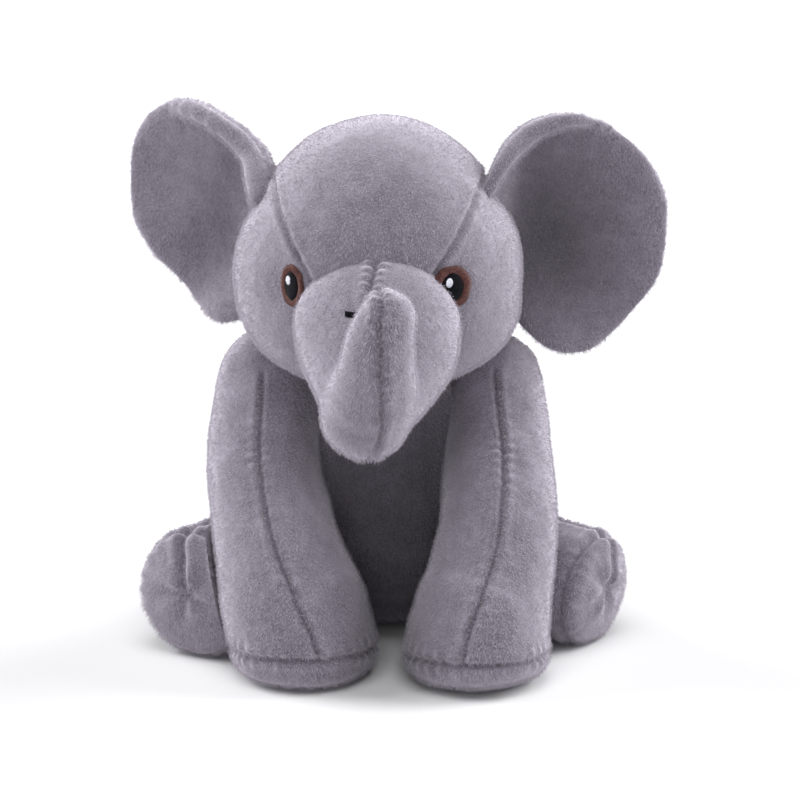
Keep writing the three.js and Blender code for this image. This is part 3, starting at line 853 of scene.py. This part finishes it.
ARM_SOLE = 10.0  # height of the sole's seam
ARM_SOLE_SLOPE = 0.14  # how much higher it is for each millimetre towards the toe
ARM_FOOT, LEG_FOOT = 24.0, 21.0  # radii of the feet, which turn an angle round one into a length
SOLE_FOLDS = 5  # folds that a hind sole is gathered into
ARM_BACK = (0.0, 1.5, 3.0)  # degrees through which a front leg swings back
ARM_CLEARANCE = 2.6  # how far a hind leg keeps from its stations


def nearest_rows(co, line):
    """For each point, the row of the line that is nearest to it."""
    return np.array([np.argmin(((line - p) ** 2).sum(axis=1)) for p in co])


def dots(a, b):
    """The dot product of each row of a with the same row of b."""
    return np.einsum("ij,ij->i", a, b)


def limb_seam(sculpt, stations, direction, end_direction=None, mask=1.0, **kw):
    """A seam along one side of a limb, where the directions point out from its middle line."""
    line = np.array([spline(stations, t)[:3] for t in np.linspace(0, 1, 80)])
    tangent = np.gradient(line, axis=0)
    tangent /= np.linalg.norm(tangent, axis=1, keepdims=True)
    run = np.concatenate([[0], np.cumsum(np.linalg.norm(np.diff(line, axis=0), axis=1))])
    share = np.linspace(0, 1, len(line))[:, None]
    aim = (1 - share) * np.array(direction, float) + share * np.array(end_direction or direction, float)
    out = aim - dots(tangent, aim)[:, None] * tangent
    out /= np.linalg.norm(out, axis=1, keepdims=True)
    nearest = nearest_rows(sculpt.co, line)
    away = sculpt.co - line[nearest]
    distance = dots(away, np.cross(tangent, out)[nearest])
    outside = smoothstep(dots(away, out[nearest]), 2, 6)
    along = run[nearest] + dots(away, tangent[nearest])
    where = outside * smoothstep(along, 0, 6) * mask
    sculpt.crease(distance, along, where, **kw)


def finish_limb(sculpt, name):
    finish_skin(sculpt, *[f"{name}_{part}" for part in LIMB_PARTS], fill=0.9)
    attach(sculpt.obj, name)


def make_arm(side):
    place = at(JOINTS[f"arm_{side}_swing"])
    stations = ARMS[side]
    limb, foot = loft(stations, dome_end=0.42), loft(FEET[side], dome_end=0.3)
    skin = mesh_object(f"arm_{side}_skin", [limb, foot], place)
    fuse(skin, 1.35, smooth=8)
    sculpt = Sculpt(skin, place)
    co = sculpt.co
    sign = SIDES[side]
    sculpt.lump(size=26, depth=1.5, seed=11.0 + sign)
    sculpt.lump(size=8, depth=0.4, seed=21.0 + sign)
    floor = -JOINTS[f"arm_{side}_swing"][2]
    edge = floor + ARM_SOLE - ARM_SOLE_SLOPE * (co[:, 1] - stations[-1][1])
    above = smoothstep(co[:, 2] - edge, -1.5, 1.5)
    limb_seam(sculpt, stations, (0.14 * sign, -1, 0.25), (-0.18 * sign, -1, 0.25), mask=above,
              depth=1.4, width=1.0, pucker=0.45, pitch=4.6, reach=4.5, seed=sign)
    limb_seam(sculpt, stations, (0, 1, -0.2), mask=above, depth=1.4, pucker=0.5, pitch=4.6, seed=3 + sign)
    # painted shade on the inner sides of the arms
    sculpt.shade += ARM_SHADE * smoothstep(-sign * normals(skin)[:, 0], 0.2, 0.9)
    turn = np.arctan2(co[:, 1] - stations[-1][1], co[:, 0] - stations[-1][0]) * ARM_FOOT
    sculpt.crease(co[:, 2] - edge, turn, 1.0, depth=1.2, width=1.1, pucker=0.4, pitch=4.6, seed=6 + sign)
    sculpt.finish()
    rest_on_floor(skin, points(skin))
    finish_limb(sculpt, f"arm_{side}")


def clear_of_arm(co, side):
    """Moves a hind leg's points out of the space where the front leg beside it rests and swings back."""
    co = co.copy()
    for stations in (ARMS[side], FEET[side]):
        rows = np.array([spline(stations, t) for t in np.linspace(0, 1, 50)])
        for degrees in ARM_BACK:
            turn = np.array(Matrix.Rotation(math.radians(degrees), 3, "X"))
            line = rows[:, :3] @ turn.T + JOINTS[f"arm_{side}_swing"]
            nearest = nearest_rows(co, line)
            away = co - line[nearest]
            distance = np.linalg.norm(away, axis=1)
            short = np.maximum(rows[nearest, 3] + ARM_CLEARANCE - distance, 0)
            co += away * (short / distance)[:, None]
    return co


def make_leg(side):
    place = at(JOINTS[f"leg_{side}_splay"])
    stations = LEGS[side]
    skin = mesh_object(f"leg_{side}_skin", [loft(stations, dome_end=0.42, across=(0, 0, 1))], place)
    fuse(skin, 1.35, smooth=3)
    sculpt = Sculpt(skin, place)
    co = sculpt.co
    sign = SIDES[side]
    sculpt.lump(size=20, depth=1.0, seed=31.0 + sign)
    sculpt.lump(size=7, depth=0.3, seed=33.0 + sign)
    end = np.array(stations[-1][:3], float)
    axis = end - np.array(stations[-2][:3])
    axis /= np.linalg.norm(axis)
    limb_seam(sculpt, stations, (0.1 * sign, 0.2, 1), depth=1.6, pucker=0.5, pitch=4.5, seed=13 + sign)
    distance = (co - end) @ axis - 1.0
    turn = np.arctan2(co[:, 2] - end[2], (co - end) @ np.cross(axis, (0, 0, 1))) * LEG_FOOT
    sculpt.crease(distance, turn, 1.0, depth=1.7, width=1.4, pucker=0.35, pitch=6.3, reach=5, seed=16 + sign)
    # the sole is gathered towards a point a little above its middle
    hub = end + axis * 8 + np.array([0, 0, 2.0])
    spoke = np.linalg.norm(co - hub, axis=1)
    turn = np.arctan2(co[:, 2] - hub[2], (co - hub) @ np.cross(axis, (0, 0, 1)))
    on_sole = bell(spoke - 7, 6) * smoothstep(distance, 1, 5) * smoothstep(spoke, 1, 5)
    sculpt.push += 0.7 * on_sole * np.sin(SOLE_FOLDS * turn + sign)
    sculpt.dimple(hub, radius=4.5, depth=1.6)
    sculpt.tuft += (1 - PILE_USUAL) * bell(spoke, 6)
    sculpt.finish()
    rest_on_floor(skin, clear_of_arm(points(skin), side))
    finish_limb(sculpt, f"leg_{side}")


# ---- Ears ----

# `sweep` is how many degrees the ear is swept back, and `shade` how much painted shade darkens its hollow.
# The outline is (out from the head, up) from the ear's root, seen square on. The rolled edge is
# (out, up, radius, how far forward it stands).
EARS = {
    "left": {
        "sweep": 17,
        "shade": 0.55,
        "outline": [
            (-12, 6), (-5, -10), (0, -20), (5, -29), (15, -36), (27, -37), (37, -32), (48, -21), (54.5, -9),
            (57, 7), (55.5, 21), (48, 35), (36, 45.5), (21, 50.5), (7, 48.5), (-4, 39.5), (-14, 26),
        ],
        "roll": [
            (-14, 25, 3.4, 5),
            (-5, 37, 3.4, 6),
            (7, 45.5, 3.2, 5.5),
            (21, 48.5, 2.8, 3.5),
            (36, 44, 2.2, 1),
        ],
    },
    "right": {
        "sweep": 37,
        "shade": 0.1,
        "outline": [
            (-11, 4), (-5, -10), (-1, -22), (4, -30), (11, -34), (21, -35), (33, -30), (43, -21), (53, -9),
            (59, 3), (60.5, 17), (58, 30), (52, 39.5), (40, 45), (25, 45), (13, 40), (3, 32), (-10, 18),
        ],
        "roll": [
            (-10, 17, 3.8, 5),
            (2, 29, 4.0, 6.5),
            (13, 37.5, 4.0, 6.5),
            (25, 42, 3.4, 4),
            (39, 43, 2.4, 1),
        ],
    },
}
EAR_PARTS = ("front_panel", "wadding", "back_panel")
EAR_THICK = 6.0
EAR_HOLLOW = (14, 4)  # the hollow's middle, out and up from the ear's root
EAR_HOLLOW_HALF = (44, 48)  # how far it reaches outwards and upwards from there
EAR_CUP = 16.0  # how deep its hollow is
EAR_WAVE = 1.6  # the sheet's own soft ripples
EAR_ROOT_LIFT = 12.0  # how far the leading edge comes forward where it meets the head


def closed_spline(outline, count):
    """Evenly spaced points on a smooth closed curve through the outline."""
    rows = np.array(outline, float)
    n = len(rows)
    out = []
    for k in range(count):
        x = k / count * n
        i, f = int(x), x - int(x)
        a, b, c, d = (rows[(i + j - 1) % n] for j in range(4))
        out.append(catmull_rom(a, b, c, d, f))
    return np.array(out)


def ear_frame(side):
    """The ear's own frame: x out from the head, y backwards and z up, from its root."""
    joint = JOINTS[f"ear_{side}_flap"]
    sign = SIDES[side]
    turn = Matrix.Rotation(math.radians(sign * EARS[side]["sweep"] + HEAD_TURN), 4, "Z")
    return at(joint) @ turn @ Matrix.Diagonal((sign, 1, 1, 1))


def ear_depth(x, z):
    """How far the ear's sheet lies behind its root: hollow by the head, its leading corner forward."""
    across = (x - EAR_HOLLOW[0]) / EAR_HOLLOW_HALF[0]
    up = (z - EAR_HOLLOW[1]) / EAR_HOLLOW_HALF[1]
    hollow = EAR_CUP * (1 - across ** 2) * (1 - 0.8 * up ** 2)
    corner = EAR_ROOT_LIFT * bell(x + 13, 10) * smoothstep(z, -8, 22)
    tip = 3.0 * bell(z + 36, 16)
    wave = EAR_WAVE * np.sin(x / 9 + z / 14) * smoothstep(x, 8, 24)
    return hollow - corner - tip + wave - 4.0


def ear_normal(x, z, step=0.5):
    slope_x = (ear_depth(x + step, z) - ear_depth(x - step, z)) / (2 * step)
    slope_z = (ear_depth(x, z + step) - ear_depth(x, z - step)) / (2 * step)
    normal = np.stack([-slope_x, np.ones_like(x), -slope_z], axis=-1)
    return normal / np.linalg.norm(normal, axis=-1, keepdims=True)


def ear_sheet(outline, around=150, rings=44):
    """A double sheet of cloth with thin wadding, closed round its rim."""
    edge = closed_spline(outline, around)
    centre = edge.mean(axis=0)
    shares = np.sin(np.linspace(0, math.pi / 2, rings + 1))
    grid = centre + (edge[None] - centre) * shares[:, None, None]
    x, z = grid[..., 0].ravel(), grid[..., 1].ravel()
    middle = np.stack([x, ear_depth(x, z), z], axis=-1)
    thick = np.repeat(EAR_THICK / 2 * np.sqrt(np.maximum(0.0, 1 - shares ** 8)) + 0.3, around)
    offset = ear_normal(x, z) * thick[:, None]
    verts = np.vstack([middle - offset, middle + offset])
    faces = []
    row = (rings + 1) * around
    for layer in range(2):
        for r in range(rings):
            for k in range(around):
                n = (k + 1) % around
                quad = [r * around + k, r * around + n, (r + 1) * around + n, (r + 1) * around + k]
                faces.append(tuple(layer * row + i for i in (quad if layer else quad[::-1])))
    for k in range(around):
        n = (k + 1) % around
        a, b = rings * around + k, rings * around + n
        faces.append((b, a, row + a, row + b))
    return verts, faces


def make_ear(side):
    spec = EARS[side]
    sign = SIDES[side]
    place = ear_frame(side)
    roll = [(x, ear_depth(x, z) - lift, z, r, r) for x, z, r, lift in spec["roll"]]
    parts = [ear_sheet(spec["outline"]), loft(roll, sides=24, rings=40, across=(0, 1, 0))]
    skin = mesh_object(f"ear_{side}_skin", parts, place)
    fuse(skin, 1.15, smooth=6)
    sculpt = Sculpt(skin, place)
    co = sculpt.co
    sculpt.lump(size=26, depth=1.6, seed=41.0 + sign)
    sculpt.lump(size=7, depth=0.3, seed=43.0 + sign)
    # painted shade in the ear's hollow, where less light falls
    hollow = bell(np.hypot((co[:, 0] - 16) / 26, (co[:, 2] - 4) / 34), 1)
    sculpt.shade += spec["shade"] * hollow * (co[:, 1] < ear_depth(co[:, 0], co[:, 2]))
    # gathers run across the rolled edge
    edge = [(x, ear_depth(x, z), z) for x, z, _, _ in spec["roll"]]
    line = np.array([spline(edge, t) for t in np.linspace(0, 1, 60)])
    near = np.array([np.linalg.norm(line - p, axis=1) for p in co])
    along = near.argmin(axis=1) * 1.1  # millimetres, as the line's points are about that far apart
    sculpt.push += 0.35 * bell(near.min(axis=1), 9) * waves(along, 8.0, sign)
    sculpt.tuft += (1 - PILE_USUAL) * bell(near.min(axis=1), 6)
    sculpt.finish()
    finish_skin(sculpt, *[f"ear_{side}_{part}" for part in EAR_PARTS], fill=0.4)
    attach(skin, f"ear_{side}")


# ---- Tail ----

TAIL = [(0, -2, 1, 5, 5), (0, 5, -2, 4, 4), (0, 9, -9, 3.6, 3.6), (0, 10.5, -16, 4, 4)]


def make_tail():
    place = at(JOINTS["tail_lift"])
    skin = mesh_object("tail_skin", [loft(TAIL, sides=24, rings=20)], place)
    fuse(skin, 1.0, smooth=2)
    sculpt = Sculpt(skin, place)
    sculpt.lump(size=8, depth=0.4, seed=51.0)
    sculpt.finish()
    finish_skin(sculpt, "tail", fill=0.8)
    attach(skin, "tail")


# ---- The crease across the trunk ----

CREASE_STITCHES = 44
CREASE_HALF = 9.5
CREASE_MIDDLE = (2.4, 7.5)  # across and up from the trunk's root
CREASE_STEPS = (-0.9, -0.4, 0.1, 0.6, 0.9)  # heights along one stitch, from its middle


def crease_stitch(skin, x, z):
    """One short upright stitch that stands a little proud in the middle."""
    middle = skin.front(x, z, 0.5, from_y=-34.0)
    proud = np.array([0, -0.5, 0.2])
    path = [middle + np.array([0, 0, d]) + proud * (1 - (d / 0.9) ** 2) for d in CREASE_STEPS]
    return thread_tube(path, 0.26)


def make_trunk_crease(trunk):
    skin = Surface(trunk, trunk_frame())
    middle, height = CREASE_MIDDLE
    shares = [2 * i / (CREASE_STITCHES - 1) - 1 for i in range(CREASE_STITCHES)]
    stitches = [crease_stitch(skin, middle + CREASE_HALF * share, height) for share in shares]
    bar = mesh_object("trunk_crease_thread", stitches, trunk_frame())
    bar.data.shade_smooth()
    finish_piece(bar, BLACK)
    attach(bar, "trunk")
    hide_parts("trunk_crease_stitch")


# ---- Studio ----

CAMERA_DISTANCE = 0.9
CAMERA_ELEVATION = math.radians(15)
CAMERA_LENS = 111.6
CAMERA_AIM = (0.005, -0.029, 0.095)
CAMERA_LOW = 0.0044  # it aims this far below that point of the picture
FLOOR_REACH = 6.0
FLOOR_PAPER = (0.64, 0.64, 0.65)
LIGHTS = (  # name, azimuth, elevation, spread, strength
    ("top", 0, 78, 40, 2.0),
    ("side_left", -106, 30, 40, 3.4),
    ("side_right", 106, 30, 40, 4.0),
    ("front", -15, 35, 60, 0.75),
)
CEILING = 0.06  # how bright the room is overhead, where the backdrop is 1
BACKDROP_TOP = 0.13  # the backdrop ends at this height, as a share of the way up to the zenith
CEILING_START = 0.22


def make_camera():
    data = bpy.data.cameras.new("camera")
    data.lens = CAMERA_LENS
    data.sensor_width = 36
    camera = bpy.data.objects.new("camera", data)
    bpy.context.scene.collection.objects.link(camera)
    back = Vector((0, -math.cos(CAMERA_ELEVATION), math.sin(CAMERA_ELEVATION)))
    up = Vector((0, math.sin(CAMERA_ELEVATION), math.cos(CAMERA_ELEVATION)))
    aim = Vector(CAMERA_AIM) - up * CAMERA_LOW
    camera.location = aim + back * CAMERA_DISTANCE
    camera.rotation_euler = (math.pi / 2 - CAMERA_ELEVATION, 0, 0)
    data.clip_start, data.clip_end = 0.05, 20
    bpy.context.scene.camera = camera


def sun_light(name, azimuth, elevation, spread, strength):
    """A soft light from far away: azimuth 0 is from the front, and 90 from the picture's right."""
    data = bpy.data.lights.new(name, "SUN")
    data.angle = math.radians(spread)
    data.energy = strength
    light = bpy.data.objects.new(name, data)
    bpy.context.scene.collection.objects.link(light)
    a, e = math.radians(azimuth), math.radians(elevation)
    source = Vector((math.sin(a) * math.cos(e), -math.cos(a) * math.cos(e), math.sin(e)))
    light.rotation_euler = source.to_track_quat("Z", "Y").to_euler()


def make_world():
    """A pale backdrop round the horizon, and a dim ceiling above it that keeps the shadows dark."""
    world = bpy.data.worlds.new("studio")
    bpy.context.scene.world = world
    world.use_nodes = True
    tree = world.node_tree
    heights = tree.nodes.new("ShaderNodeSeparateXYZ")
    tree.links.new(tree.nodes.new("ShaderNodeTexCoord").outputs["Generated"], heights.inputs[0])
    backdrop = ramp(tree, heights.outputs["Z"], [(BACKDROP_TOP, (1, 1, 1)), (CEILING_START, (CEILING,) * 3)])
    tree.links.new(backdrop, tree.nodes["Background"].inputs["Color"])


def make_floor():
    corners = [(FLOOR_REACH * x, FLOOR_REACH * y, 0) for x, y in ((-1, -1), (1, -1), (1, 1), (-1, 1))]
    mesh = bpy.data.meshes.new("floor")
    mesh.from_pydata(corners, [], [(0, 1, 2, 3)])
    floor = bpy.data.objects.new("floor", mesh)
    bpy.context.scene.collection.objects.link(floor)
    material, _, shader = node_material("floor_paper")
    shader.inputs["Base Color"].default_value = (*FLOOR_PAPER, 1)
    shader.inputs["Roughness"].default_value = 0.9
    mesh.materials.append(material)


def make_studio():
    make_floor()
    make_world()
    for light in LIGHTS:
        sun_light(*light)
    bpy.context.scene.view_settings.view_transform = "Standard"


make_camera()
make_studio()
head_skin = make_head()
trunk_skin = make_trunk()
for side_name in SIDES:
    make_eye(side_name, head_skin)
    make_ear(side_name)
    make_arm(side_name)
    make_leg(side_name)
make_torso()
make_tail()
make_trunk_crease(trunk_skin)
